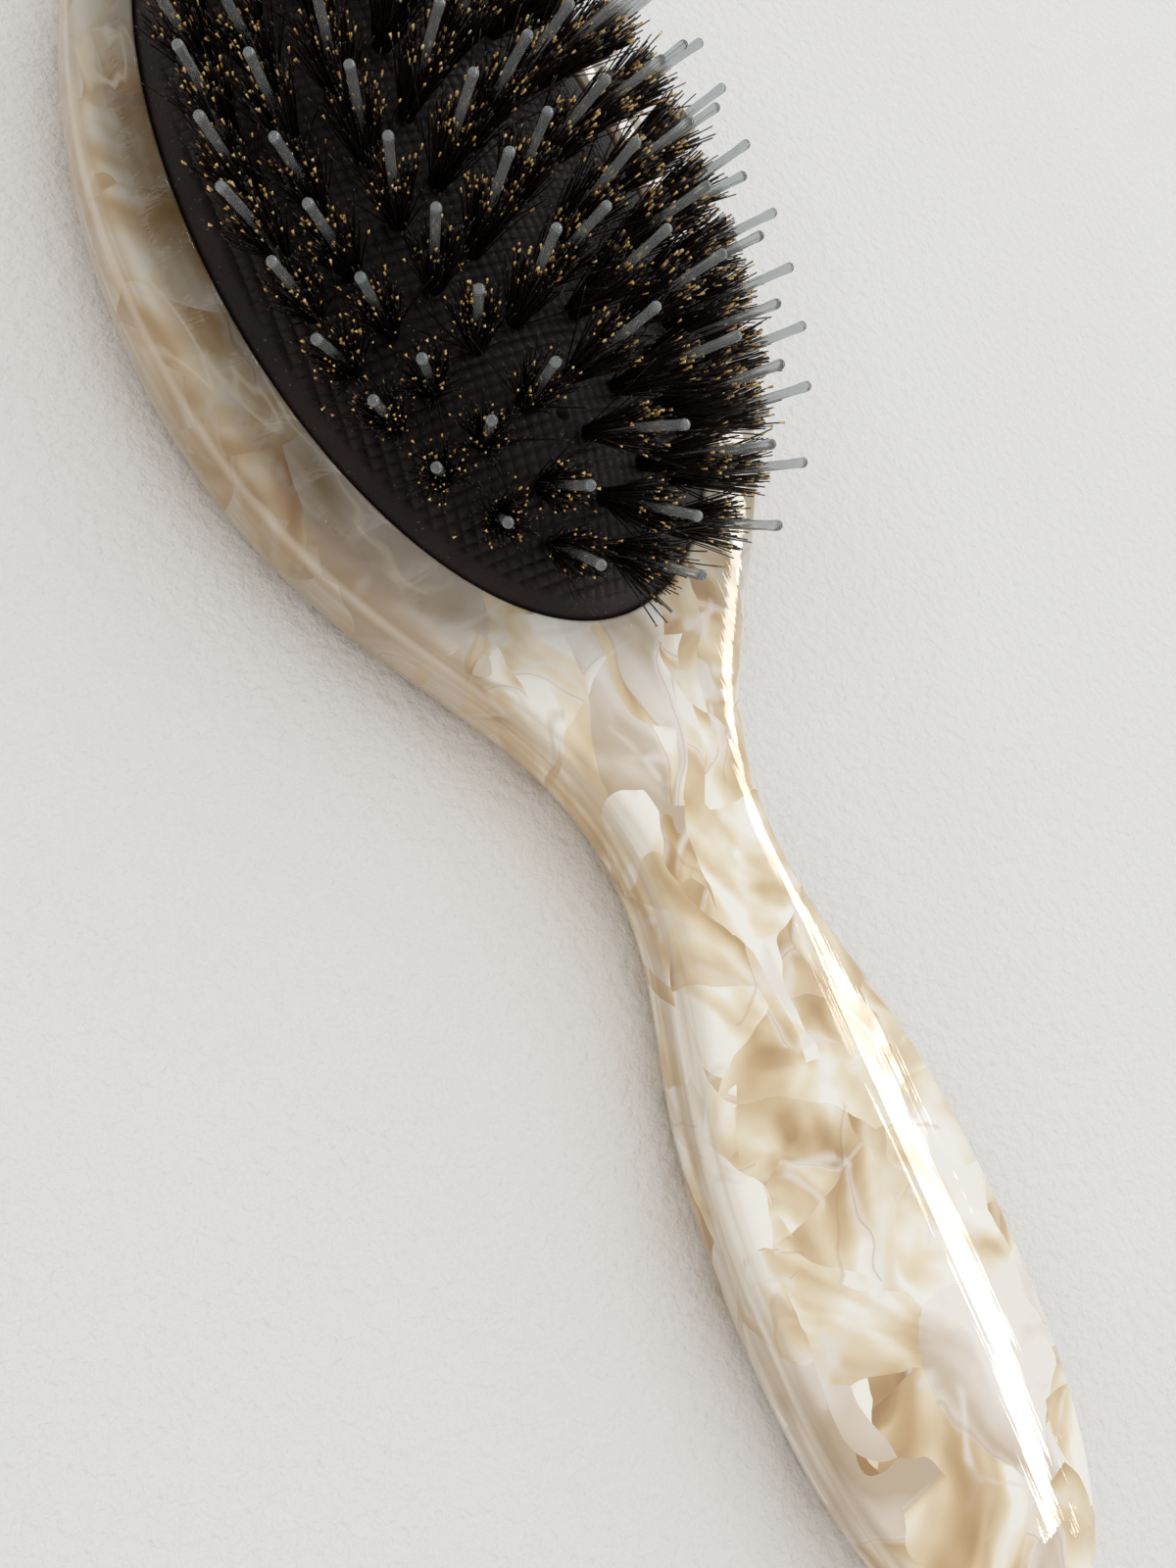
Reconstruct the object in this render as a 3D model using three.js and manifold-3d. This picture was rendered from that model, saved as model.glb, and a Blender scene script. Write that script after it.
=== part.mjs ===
// Oval cushion hairbrush: a one-piece handle body, an air cushion of rubber, and five rows of tufts.
// Units are millimetres. The brush lies on its back on z = 0, with the tufts pointing up (+Z), the
// rounded tip of the head towards +Y and the grip towards -Y. The origin is on the flat back, under
// the middle of the cushion.
import * as THREE from 'three';
import { mergeVertices } from 'three/addons/utils/BufferGeometryUtils.js';
import Module from 'manifold-3d';

const wasm = await Module();
wasm.setup();

// Driving dimensions of the handle body, seen from above.
const headTipY = 54.5;
const headHalfWidth = 34;
const headWidestY = -3;
const neckHalfWidth = 7.9;
const neckY = -72.7;
const gripHalfWidth = 15.2;
const gripWidestY = -116;
const gripEndY = -152.5;
const outlineStepsPerCurve = 14;

// How far each curve of the outline reaches straight on from its two ends before it turns away.
const gripEndReach = 5.5;
const gripReachDown = 30;
const gripReachUp = 26;
const neckReachDown = 13.5;
const neckReachUp = 24.5;
const headReachDown = 41;
const headReachUp = 26;
const headTipReach = 19.6;

// The body is one flat plate with rounded edges: a quarter oval above and below the widest line.
const bodyThickness = 11.6;
const edgeWidth = 6;
const edgeHeight = 5.2;
const edgeSteps = 4;

// Driving dimensions of the cushion, whose outline is an oval around the origin.
const cushionHalfWidth = 26.5;
const cushionHalfLength = 46.8;
const cushionRimZ = 11.3;
const domeHeight = 9.4;
const membrane = 1.3;
const beadWidth = 1.3;
const beadTopZ = 10.2;
const beadHeight = 1.3;
const ovalSegments = 40;

// The air chamber in the body, with the groove that holds the bead of the cushion.
const gap = 0.35;
const chamberFloorZ = 6;

// Driving dimensions of one tuft: bristles round a longer nylon pin, measured from the cushion.
const tuftSides = 6;
const footDepth = 2.7;
const footRadius = 0.85;
const bristleTopRadius = 1.85;
const bristleHeight = 9.3;
const pinRadius = 0.54;
const pinShoulderHeight = 9.9;
const pinTipRadius = 0.46;
const pinHeight = 14.2;
const pinTipHeight = 14.6;
const tuftHoleRadius = 1.5;
const wireRadius = 0.32;
const wireSides = 4;
const wireDepth = 2.25;

// Rows of tufts: inset from the edge of the cushion, number of tufts, the share of one step by which
// the row starts past the side of the oval, and how far its tufts lean outwards, in degrees.
const rows = [
  { name: 'row_1', inset: 5.6, count: 32, offset: 0, lean: 36 },
  { name: 'row_2', inset: 10.1, count: 26, offset: 0.5, lean: 33 },
  { name: 'row_3', inset: 15.9, count: 20, offset: 0, lean: 25.5 },
  { name: 'row_4', inset: 21.4, count: 14, offset: 0.5, lean: 8 },
];
const tuftsPerWire = 2;
const middleRow = { name: 'middle', count: 5, pitch: 8 };

// The air vent in the cushion, beside the end of row 3.
const ventHole = { x: -2.2, y: -28.6, inset: 16.6, radius: 0.65 };

const acetate = new THREE.MeshStandardMaterial({ color: 0xdcc8aa, roughness: 0.15, metalness: 0 });
const rubber = new THREE.MeshStandardMaterial({ color: 0x17171a, roughness: 0.6, metalness: 0 });
const bristle = new THREE.MeshStandardMaterial({ color: 0x3a2d22, roughness: 0.5, metalness: 0 });

// Turns a closed geometry into a manifold solid.
function toSolid(geometry) {
  const bare = geometry.clone();
  bare.deleteAttribute('normal');
  bare.deleteAttribute('uv');
  const merged = mergeVertices(bare);
  return new wasm.Manifold(new wasm.Mesh({
    numProp: 3,
    vertProperties: new Float32Array(merged.attributes.position.array),
    triVerts: new Uint32Array(merged.index.array),
  }));
}

// Turns a manifold solid into a geometry.
function toGeometry(solid) {
  const mesh = solid.getMesh();
  const geometry = new THREE.BufferGeometry();
  geometry.setAttribute('position', new THREE.BufferAttribute(new Float32Array(mesh.vertProperties), 3));
  geometry.setIndex(new THREE.BufferAttribute(new Uint32Array(mesh.triVerts), 1));
  geometry.computeVertexNormals();
  return geometry;
}

function addNode(group, name, geometry, material) {
  const mesh = new THREE.Mesh(geometry, material);
  mesh.name = name;
  group.add(mesh);
}

// Outline of the body, drawn up the right side from the grip's end to the head's tip and mirrored.
// Each curve leaves and arrives square to the length or the width of the brush.
function bodyOutline() {
  const v = (x, y) => new THREE.Vector2(x, y);
  const end = v(0, gripEndY);
  const grip = v(gripHalfWidth, gripWidestY);
  const neck = v(neckHalfWidth, neckY);
  const head = v(headHalfWidth, headWidestY);
  const tip = v(0, headTipY);
  const rightSide = [
    [end, v(gripEndReach, gripEndY), v(gripHalfWidth, gripWidestY - gripReachDown), grip],
    [grip, v(gripHalfWidth, gripWidestY + gripReachUp), v(neckHalfWidth, neckY - neckReachDown), neck],
    [neck, v(neckHalfWidth, neckY + neckReachUp), v(headHalfWidth, headWidestY - headReachDown), head],
    [head, v(headHalfWidth, headWidestY + headReachUp), v(headTipReach, headTipY), tip],
  ];
  const points = rightSide.flatMap((curve) => (
    new THREE.CubicBezierCurve(...curve).getPoints(outlineStepsPerCurve).slice(0, -1)));
  const leftSide = points.slice(1).reverse().map((point) => v(-point.x, point.y));
  return new THREE.Shape([...points, tip, ...leftSide]);
}

// A straight-walled oval, larger than the cushion by the margin, between two heights.
function ovalBlock(margin, bottomZ, topZ) {
  const shape = new THREE.Shape();
  shape.absellipse(0, 0, cushionHalfWidth + margin, cushionHalfLength + margin, 0, 2 * Math.PI, false);
  const geometry = new THREE.ExtrudeGeometry(shape, {
    depth: topZ - bottomZ, bevelEnabled: false, curveSegments: ovalSegments / 2 });
  return toSolid(geometry.translate(0, 0, bottomZ));
}

function makeBody() {
  const plate = new THREE.ExtrudeGeometry(bodyOutline(), {
    depth: bodyThickness - 2 * edgeHeight,
    bevelThickness: edgeHeight,
    bevelSize: edgeWidth,
    bevelOffset: -edgeWidth,
    bevelSegments: edgeSteps,
  });
  const chamber = ovalBlock(gap, chamberFloorZ, bodyThickness + 1);
  const groove = ovalBlock(beadWidth + gap, beadTopZ - beadHeight - gap, beadTopZ + gap);
  const solid = toSolid(plate.translate(0, 0, edgeHeight)).subtract(chamber).subtract(groove);
  return toGeometry(solid);
}

// Height of the cushion's outer face at an inset from its edge.
function domeZ(inset) {
  return cushionRimZ + domeHeight * (1 - (1 - inset / cushionHalfWidth) ** 2);
}

// Turns a profile of (distance from the middle line, height) into an oval ring of that profile. The
// middle of the oval is a line, because its length and width differ by the same amount all over.
function ovalLathe(profile, segments) {
  const geometry = new THREE.LatheGeometry(profile, segments);
  const position = geometry.attributes.position;
  const middleLine = cushionHalfLength - cushionHalfWidth;
  for (let i = 0; i < position.count; i += 1) {
    const angle = Math.floor(i / profile.length) / segments * 2 * Math.PI;
    const point = profile[i % profile.length];
    position.setXYZ(i, point.x * Math.cos(angle), (point.x + middleLine) * Math.sin(angle), point.y);
  }
  return geometry;
}

// A tuft's place: its point on the cushion's outer face and the direction that it stands in.
function tuftPlace(x, y, inset, outward, lean) {
  const sideways = outward.multiplyScalar(Math.sin(THREE.MathUtils.degToRad(lean)));
  return {
    point: new THREE.Vector3(x, y, domeZ(inset)),
    direction: new THREE.Vector3(sideways.x, sideways.y, Math.cos(THREE.MathUtils.degToRad(lean))),
  };
}

function rowPlaces(row) {
  const halfWidth = cushionHalfWidth - row.inset;
  const halfLength = cushionHalfLength - row.inset;
  const oval = new THREE.EllipseCurve(0, 0, halfWidth, halfLength, 0, 2 * Math.PI, false);
  return Array.from({ length: row.count }, (_, i) => {
    const point = oval.getPointAt((i + row.offset) / row.count);
    const outward = new THREE.Vector2(point.x / halfWidth ** 2, point.y / halfLength ** 2).normalize();
    return tuftPlace(point.x, point.y, row.inset, outward, row.lean);
  });
}

function middlePlaces() {
  return Array.from({ length: middleRow.count }, (_, i) => {
    const y = (i - (middleRow.count - 1) / 2) * middleRow.pitch;
    return tuftPlace(0, y, cushionHalfWidth, new THREE.Vector2(0, 0), 0);
  });
}

// The matrix that stands a shape made along +Z in a tuft's place.
function placeMatrix(place) {
  const turn = new THREE.Quaternion().setFromUnitVectors(new THREE.Vector3(0, 0, 1), place.direction);
  return new THREE.Matrix4().compose(place.point, turn, new THREE.Vector3(1, 1, 1));
}

function makeTuft(place) {
  const profile = [
    new THREE.Vector2(0, -footDepth),
    new THREE.Vector2(footRadius, -footDepth),
    new THREE.Vector2(bristleTopRadius, bristleHeight),
    new THREE.Vector2(pinRadius, pinShoulderHeight),
    new THREE.Vector2(pinTipRadius, pinHeight),
    new THREE.Vector2(0, pinTipHeight),
  ];
  const geometry = new THREE.LatheGeometry(profile, tuftSides).rotateX(Math.PI / 2);
  return toSolid(geometry.applyMatrix4(placeMatrix(place)));
}

// The wire under the cushion that holds two tufts, from the middle of one foot to the other.
function makeWire(from, to) {
  const start = from.point.clone().addScaledVector(from.direction, -wireDepth);
  const end = to.point.clone().addScaledVector(to.direction, -wireDepth);
  const span = end.clone().sub(start);
  const geometry = new THREE.CylinderGeometry(wireRadius, wireRadius, span.length(), wireSides);
  geometry.rotateX(Math.PI / 2);
  return toSolid(geometry.applyMatrix4(placeMatrix({
    point: start.add(end).multiplyScalar(0.5),
    direction: span.normalize(),
  })));
}

function makeTufts(places) {
  let solid = makeTuft(places[0]);
  for (let i = 1; i < places.length; i += 1) {
    solid = solid.add(makeTuft(places[i])).add(makeWire(places[i - 1], places[i]));
  }
  return toGeometry(solid);
}

// Insets at which the faceted dome bends, from the middle to the edge: half-way between the rows, so
// that the holes of a row lie within one band of facets.
function domeInsets() {
  const insets = [0, ...rows.map((row) => row.inset), cushionHalfWidth];
  const halfWays = insets.slice(1).map((inset, i) => (inset + insets[i]) / 2);
  return [0, ...halfWays, cushionHalfWidth].reverse();
}

// The cushion: a domed membrane with a bead round its edge, a hole for each tuft and an air vent.
function makeCushion(places) {
  const profile = domeInsets().map((inset) => new THREE.Vector2(
    (cushionHalfWidth - membrane) * (1 - inset / cushionHalfWidth), domeZ(inset) - membrane));
  const beadBottomZ = beadTopZ - beadHeight;
  profile.push(new THREE.Vector2(cushionHalfWidth - membrane, beadBottomZ));
  profile.push(new THREE.Vector2(cushionHalfWidth + beadWidth, beadBottomZ));
  profile.push(new THREE.Vector2(cushionHalfWidth + beadWidth, beadTopZ));
  profile.push(new THREE.Vector2(cushionHalfWidth, beadTopZ));
  for (const inset of domeInsets().reverse()) {
    profile.push(new THREE.Vector2(cushionHalfWidth - inset, domeZ(inset)));
  }
  let solid = toSolid(ovalLathe(profile, ovalSegments));
  const cutterLength = 3 * membrane + footDepth;
  for (const place of places) {
    const cutter = new THREE.CylinderGeometry(tuftHoleRadius, tuftHoleRadius, cutterLength, tuftSides);
    cutter.rotateX(Math.PI / 2);
    solid = solid.subtract(toSolid(cutter.applyMatrix4(placeMatrix(place))));
  }
  const vent = new THREE.CylinderGeometry(ventHole.radius, ventHole.radius, 3 * membrane, tuftSides);
  vent.rotateX(Math.PI / 2).translate(ventHole.x, ventHole.y, domeZ(ventHole.inset) - membrane / 2);
  return toGeometry(solid.subtract(toSolid(vent)));
}

const brush = new THREE.Group();
addNode(brush, 'handle_body', makeBody(), acetate);

const middle = middlePlaces();
const places = [...rows.flatMap(rowPlaces), ...middle];
addNode(brush, 'rubber_cushion', makeCushion(places), rubber);

for (const row of rows) {
  const rowTufts = rowPlaces(row);
  for (let i = 0; i < row.count; i += tuftsPerWire) {
    const number = String(i / tuftsPerWire + 1).padStart(2, '0');
    addNode(brush, `tufts_${row.name}_${number}`, makeTufts(rowTufts.slice(i, i + tuftsPerWire)), bristle);
  }
}
middle.forEach((place, i) => {
  addNode(brush, `tuft_${middleRow.name}_${i + 1}`, makeTufts([place]), bristle);
});

export default brush;
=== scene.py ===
import math

import bmesh
import bpy
import numpy as np
from mathutils import Matrix, Vector
from mathutils.geometry import delaunay_2d_cdt


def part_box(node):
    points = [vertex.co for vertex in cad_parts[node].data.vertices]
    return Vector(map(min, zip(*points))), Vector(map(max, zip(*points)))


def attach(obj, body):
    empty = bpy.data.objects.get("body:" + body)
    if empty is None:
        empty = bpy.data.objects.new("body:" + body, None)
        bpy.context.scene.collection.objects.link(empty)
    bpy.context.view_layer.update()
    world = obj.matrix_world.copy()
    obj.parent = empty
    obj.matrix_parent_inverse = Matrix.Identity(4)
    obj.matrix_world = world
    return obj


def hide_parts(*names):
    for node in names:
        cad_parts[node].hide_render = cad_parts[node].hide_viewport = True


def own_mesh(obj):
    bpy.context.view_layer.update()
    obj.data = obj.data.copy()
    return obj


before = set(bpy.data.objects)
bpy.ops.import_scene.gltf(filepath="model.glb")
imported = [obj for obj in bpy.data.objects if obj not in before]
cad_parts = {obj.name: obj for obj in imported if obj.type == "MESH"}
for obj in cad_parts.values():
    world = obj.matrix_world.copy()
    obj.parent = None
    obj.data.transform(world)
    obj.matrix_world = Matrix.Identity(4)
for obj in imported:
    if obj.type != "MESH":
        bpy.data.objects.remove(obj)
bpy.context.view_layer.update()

# Meshes are worked out in millimetres in the frame's axes and scaled to metres when they are made.
# Lights and the camera are placed in metres. The brush lies on its back on z = 0, its head towards
# +Y, with the tufts pointing up.
MM = 0.001
random = np.random.default_rng(20)


def box_mm(node):
    """Lowest and highest corners of a CAD node, in millimetres."""
    low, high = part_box(node)
    return np.array(low) / MM, np.array(high) / MM


body_low, body_high = box_mm("handle_body")
cushion_high = box_mm("rubber_cushion")[1]

# Driving dimensions of the body's outline, as in the CAD, with its ends taken from the frame.
HEAD_TIP_Y = body_high[1]
HEAD_HALF_WIDTH = body_high[0]
HEAD_WIDEST_Y = -3
NECK_HALF_WIDTH = 7.9
NECK_Y = -72.7
GRIP_HALF_WIDTH = 15.2
GRIP_WIDEST_Y = -116
GRIP_END_Y = body_low[1]
OUTLINE_SPACING = 0.9

# How far the handles of the outline's curves reach: up and down the brush, and sideways at its ends.
GRIP_END_REACH = 5.5
GRIP_REACH_DOWN = 30
GRIP_REACH_UP = 26
NECK_REACH_DOWN = 13.5
NECK_REACH_UP = 24.5
HEAD_REACH_DOWN = 41
HEAD_REACH_UP = 26
HEAD_TIP_REACH = 19.6

# The body's cross-section: a plate that is widest at half its height. Its edges are superellipses, and
# its upper face falls away towards them from a flat middle, further in on the grip than on the neck.
BODY_TOP = body_high[2]
WIDEST_Z = BODY_TOP / 2
TOP_EDGE_WIDTH = 2.0
BACK_EDGE_WIDTH = 3.6
EDGE_POWER = 2.4
EDGE_BAND = 3.8
BAND_SPACING = 0.6
TOP_EDGE_STEPS = 12
BACK_EDGE_STEPS = 10
NECK_CROWN = {"depth": 5.0, "radius": 25}
GRIP_CROWN = {"depth": 13.8, "radius": 56}
SMOOTHING_PASSES = 8
TOP_GRID = {"pitch": 1.1, "margin": 0.9}
BACK_GRID = {"pitch": 4, "margin": 1.5}
# Points nearer than this to a loop's vertices lie on it.
ON_LOOP = 1e-3

# Driving dimensions of the cushion and of the pocket that holds it.
BEAD_WIDTH = 1.3
CUSHION_HALF_WIDTH = cushion_high[0] - BEAD_WIDTH
CUSHION_HALF_LENGTH = cushion_high[1] - BEAD_WIDTH
DOME_TOP = cushion_high[2]
DOME_HEIGHT = 9.4
RIM_Z = DOME_TOP - DOME_HEIGHT
SKIRT_Z = 9.4
POCKET_GAP = 0.22
LIP_RADIUS = 0.45
LIP_STEPS = 4
POCKET_POINTS = 280
CHAMBER_FLOOR_Z = 6
CUSHION_POINTS = 300
# The border's rings: insets from the cushion's edge, and how far each drops below the dome.
BORDER_INSETS = [0, 0.25, 0.55, 0.9, 1.25]
BORDER_DROPS = [0.16, 0.04, 0, 0, 0]
BORDER_WIDTH = BORDER_INSETS[-1]
BORDER_MARGIN = 0.12
SKIRT_DROP = 0.3
GRID_PITCH = 1.15
GROOVE_HALF_WIDTH = 0.16
GROOVE_DEPTH = 0.22
VENT = (-2.2, -28.6)
VENT_RADIUS = 0.6
VENT_DEPTH = 1.4
VENT_SIDES = 20
VENT_MARGIN = 0.1
# Distances from the border at which the grid starts and has its full depth, and the latter by the vent.
RELIEF_STARTS = 0.05
RELIEF_FULL = 0.9
RELIEF_FULL_BY_VENT = 0.5
BISECTIONS = 40

# Rows of tufts, as in the CAD: inset from the cushion's edge, count, start offset and lean.
ROWS = [
    {"name": "row_1", "inset": 5.6, "count": 32, "offset": 0, "lean": 36},
    {"name": "row_2", "inset": 10.1, "count": 26, "offset": 0.5, "lean": 33},
    {"name": "row_3", "inset": 15.9, "count": 20, "offset": 0, "lean": 25.5},
    {"name": "row_4", "inset": 21.4, "count": 14, "offset": 0.5, "lean": 8},
]
TUFTS_PER_NODE = 2
MIDDLE_COUNT = 5
MIDDLE_PITCH = 8

# One tuft: a nylon pin with a rounded tip, and the bristles round it.
PIN_LENGTH = 14.6
PIN_RADIUS = 0.47
PIN_TIP_RADIUS = 0.53
PIN_ROOT = 2.2
PIN_SIDES = 12
PIN_SHAFT_RINGS = 7
# Distances below the start of the rounded tip: the shaft's end, and half and full swelling.
PIN_SHAFT_END = 1.2
PIN_SWELL_MIDDLE = 0.7
PIN_SWELL_END = 0.2
PIN_TIP_ANGLES = [15, 35, 55, 75]
# Deviations of a pin's bend in millimetres and of a tuft's tilt in degrees.
PIN_BEND = 0.22
TUFT_TILT = 1.6
BRISTLES = 108
BRISTLE_SIDES = 3
BRISTLE_RADIUS = 0.088
BRISTLE_LENGTH = 9.4
BRISTLE_ROOT = 1.6
TUFT_ROOT_RADIUS = 0.85

# How the bristles of a tuft differ. A spread is 1 at the tuft's outside and 0 in its middle, and its
# square is drawn evenly. The fan is in degrees, the bend, the tips' lengths and a stray's extra length
# are in millimetres, and the rest are shares or slopes.
SPREAD_SQUARED = (0.25, 1)
FAN = {"mean": 10, "deviation": 3.5}
WANDER = 0.045
LENGTH_DEVIATION = 0.06
BEND = 0.35
RADIUS_SHARES = (0.8, 1.15)
STRAY = {"share": 0.05, "fan": 2.2, "longer": 1.5}
PALE_SHARE = {"inner": 0.4, "outer": 0.13}
INNER_SPREAD = 0.75
PALE_FLARES = (1.1, 2.1)
DARK_FLARE = 0.9
TIP_LENGTHS = (0.25, 0.8)


# ---------------------------------------------------------------- mesh helpers

def make_object(name, vertices, faces, materials, face_materials=None):
    """A smooth-shaded mesh object from vertices in millimetres."""
    mesh = bpy.data.meshes.new(name)
    mesh.from_pydata((np.asarray(vertices) * MM).tolist(), [], faces)
    for material in materials:
        mesh.materials.append(material)
    mesh.polygons.foreach_set("use_smooth", [True] * len(mesh.polygons))
    if face_materials is not None:
        mesh.polygons.foreach_set("material_index", face_materials)
    mesh.update()
    made = bpy.data.objects.new(name, mesh)
    bpy.context.scene.collection.objects.link(made)
    return made


def weld(piece, distance=0.002):
    """Joins the vertices that the patches of a closed mesh share, and turns its faces outwards."""
    work = bmesh.new()
    work.from_mesh(piece.data)
    bmesh.ops.remove_doubles(work, verts=work.verts, dist=distance * MM)
    bmesh.ops.recalc_face_normals(work, faces=work.faces)
    open_edges = sum(1 for edge in work.edges if len(edge.link_faces) != 2)
    if open_edges:
        print("open edges in", piece.name, open_edges)
    work.to_mesh(piece.data)
    work.free()


def fill(outer, inner_loops, points):
    """Triangles over the area inside the outer loop and outside the inner ones, through the points."""
    coordinates = []
    edges = []
    for loop in [outer, *inner_loops]:
        start = len(coordinates)
        coordinates.extend(map(tuple, loop))
        edges.extend((start + i, start + (i + 1) % len(loop)) for i in range(len(loop)))
    coordinates.extend(map(tuple, points))
    result = delaunay_2d_cdt([Vector(c) for c in coordinates], edges, [], 1, 1e-5)
    flat = np.array([tuple(v) for v in result[0]])
    triangles = np.array(result[2])
    centres = flat[triangles].mean(axis=1)
    keep = np.ones(len(triangles), bool)
    for loop in inner_loops:
        keep &= ~inside(centres, loop)
    return flat, triangles[keep]


def inside(points, loop):
    """Which of the points lie within a closed loop, by counting crossings."""
    x, y = points[:, 0, None], points[:, 1, None]
    x1, y1 = loop[:, 0], loop[:, 1]
    x2, y2 = np.roll(x1, -1), np.roll(y1, -1)
    spans = (y1 > y) != (y2 > y)
    with np.errstate(divide="ignore", invalid="ignore"):
        crossing = x1 + (y - y1) * (x2 - x1) / (y2 - y1)
    return (spans & (x < crossing)).sum(axis=1) % 2 == 1


def distance_to(points, loop, batch=500):
    """Distance from each point to the nearest vertex of a finely divided loop."""
    parts = []
    for start in range(0, len(points), batch):
        gaps = points[start:start + batch, None, :] - loop[None, :, :]
        parts.append(np.sqrt((gaps ** 2).sum(axis=2)).min(axis=1))
    return np.concatenate(parts)


def smoothed(values, triangles, fixed, passes):
    """The values, each moved towards the mean of its neighbours' several times, except the fixed ones."""
    values = values.copy()
    starts = triangles[:, [0, 1, 2, 1, 2, 0]].ravel()
    ends = triangles[:, [1, 2, 0, 0, 1, 2]].ravel()
    counts = np.bincount(starts, minlength=len(values))
    for _ in range(passes):
        means = np.bincount(starts, values[ends], len(values)) / np.maximum(counts, 1)
        values = np.where(fixed, values, (values + means) / 2)
    return values


def hex_grid(low, high, pitch):
    """Points in staggered rows over the box between two corners."""
    rows = np.arange(low[1], high[1], pitch * math.sqrt(3) / 2)
    points = []
    for i, y in enumerate(rows):
        xs = np.arange(low[0] + (i % 2) * pitch / 2, high[0], pitch)
        points.append(np.stack([xs, np.full(len(xs), y)], axis=1))
    return np.concatenate(points)


def smooth_step(value, start, end):
    """0 up to the start and 1 from the end on, with a soft rise between them."""
    t = np.clip((value - start) / (end - start), 0, 1)
    return t * t * (3 - 2 * t)


class Patches:
    """Vertices and faces of one mesh, gathered patch by patch."""

    def __init__(self):
        self.vertices = []
        self.faces = []

    def add(self, vertices, faces):
        start = len(self.vertices)
        self.vertices.extend(map(tuple, vertices))
        self.faces.extend([start + int(i) for i in face] for face in faces)

    def add_rings(self, rings):
        """Quads between closed rings that have the same number of points."""
        count = len(rings[0])
        quads = []
        for r in range(len(rings) - 1):
            for i in range(count):
                j = (i + 1) % count
                lower, upper = r * count, (r + 1) * count
                quads.append((lower + i, lower + j, upper + j, upper + i))
        self.add(np.concatenate(rings), quads)

    def add_cap(self, ring):
        """One face that closes a ring."""
        self.add(ring, [range(len(ring))])


# ---------------------------------------------------------------- handle body

def bezier(p0, p1, p2, p3, steps=200):
    t = np.linspace(0, 1, steps, endpoint=False)[:, None]
    p0, p1, p2, p3 = (np.array(p, float) for p in (p0, p1, p2, p3))
    return (1 - t) ** 3 * p0 + 3 * (1 - t) ** 2 * t * p1 + 3 * (1 - t) * t ** 2 * p2 + t ** 3 * p3


def along_brush(point, reach):
    return (point[0], point[1] + reach)


def right_outline(spacing):
    """The outline's right side, from the grip's end to the head's tip, in even steps."""
    end, tip = (0, GRIP_END_Y), (0, HEAD_TIP_Y)
    grip = (GRIP_HALF_WIDTH, GRIP_WIDEST_Y)
    neck = (NECK_HALF_WIDTH, NECK_Y)
    head = (HEAD_HALF_WIDTH, HEAD_WIDEST_Y)
    dense = np.concatenate([
        bezier(end, (GRIP_END_REACH, GRIP_END_Y), along_brush(grip, -GRIP_REACH_DOWN), grip),
        bezier(grip, along_brush(grip, GRIP_REACH_UP), along_brush(neck, -NECK_REACH_DOWN), neck),
        bezier(neck, along_brush(neck, NECK_REACH_UP), along_brush(head, -HEAD_REACH_DOWN), head),
        bezier(head, along_brush(head, HEAD_REACH_UP), (HEAD_TIP_REACH, HEAD_TIP_Y), tip),
        [tip],
    ])
    steps = np.hypot(*np.diff(dense, axis=0).T)
    along = np.concatenate([[0], np.cumsum(steps)])
    places = np.linspace(0, along[-1], round(along[-1] / spacing))
    return np.stack([np.interp(places, along, dense[:, k]) for k in (0, 1)], axis=1)


def mirrored(right):
    """The whole closed outline, counter-clockwise, from its right side."""
    return np.concatenate([right, right[-2:0:-1] * (-1, 1)])


def inward_normals(loop):
    """Unit normals that point into a counter-clockwise closed loop."""
    tangent = np.roll(loop, -1, axis=0) - np.roll(loop, 1, axis=0)
    tangent /= np.linalg.norm(tangent, axis=1, keepdims=True)
    return np.stack([-tangent[:, 1], tangent[:, 0]], axis=1)


def crown(y):
    """How far in from the outline the upper face starts to fall away, and the radius of its curve."""
    right = right_outline(OUTLINE_SPACING)
    width = np.where(y < GRIP_WIDEST_Y, GRIP_HALF_WIDTH, np.interp(y, right[:, 1], right[:, 0]))
    width = np.where(y > NECK_Y, NECK_HALF_WIDTH, width)
    share = np.clip((width - NECK_HALF_WIDTH) / (GRIP_HALF_WIDTH - NECK_HALF_WIDTH), 0, 1)
    return [NECK_CROWN[key] + (GRIP_CROWN[key] - NECK_CROWN[key]) * share for key in ("depth", "radius")]


def edge_share(distance, width):
    """Share of an edge's height reached at a distance in from the outline."""
    return (1 - np.clip(1 - distance / width, 0, 1) ** EDGE_POWER) ** (1 / EDGE_POWER)


def upper_height(distance, y):
    """Height of the upper face at a distance in from the outline."""
    depth, radius = crown(y)
    top = BODY_TOP - np.maximum(depth - distance, 0) ** 2 / (2 * radius)
    return WIDEST_Z + (top - WIDEST_Z) * edge_share(distance, TOP_EDGE_WIDTH)


def back_height(distance):
    return WIDEST_Z * (1 - edge_share(distance, BACK_EDGE_WIDTH))


def edge_insets(width, steps):
    """Insets from the outline, spread evenly round the edge's curve, and on over the rest of the band."""
    turns = np.linspace(0, math.pi / 2, steps)
    curve = width * (1 - np.cos(turns) ** (2 / EDGE_POWER))
    band_steps = math.ceil((EDGE_BAND - width) / BAND_SPACING)
    return [*curve, *np.linspace(width, EDGE_BAND, 1 + band_steps)[1:]]


def oval(half_width, half_length, count):
    turn = np.linspace(0, 2 * math.pi, count, endpoint=False)
    return np.stack([half_width * np.cos(turn), half_length * np.sin(turn)], axis=1)


def at_height(loop, z):
    return np.column_stack([loop, np.broadcast_to(z, len(loop))])


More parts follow.
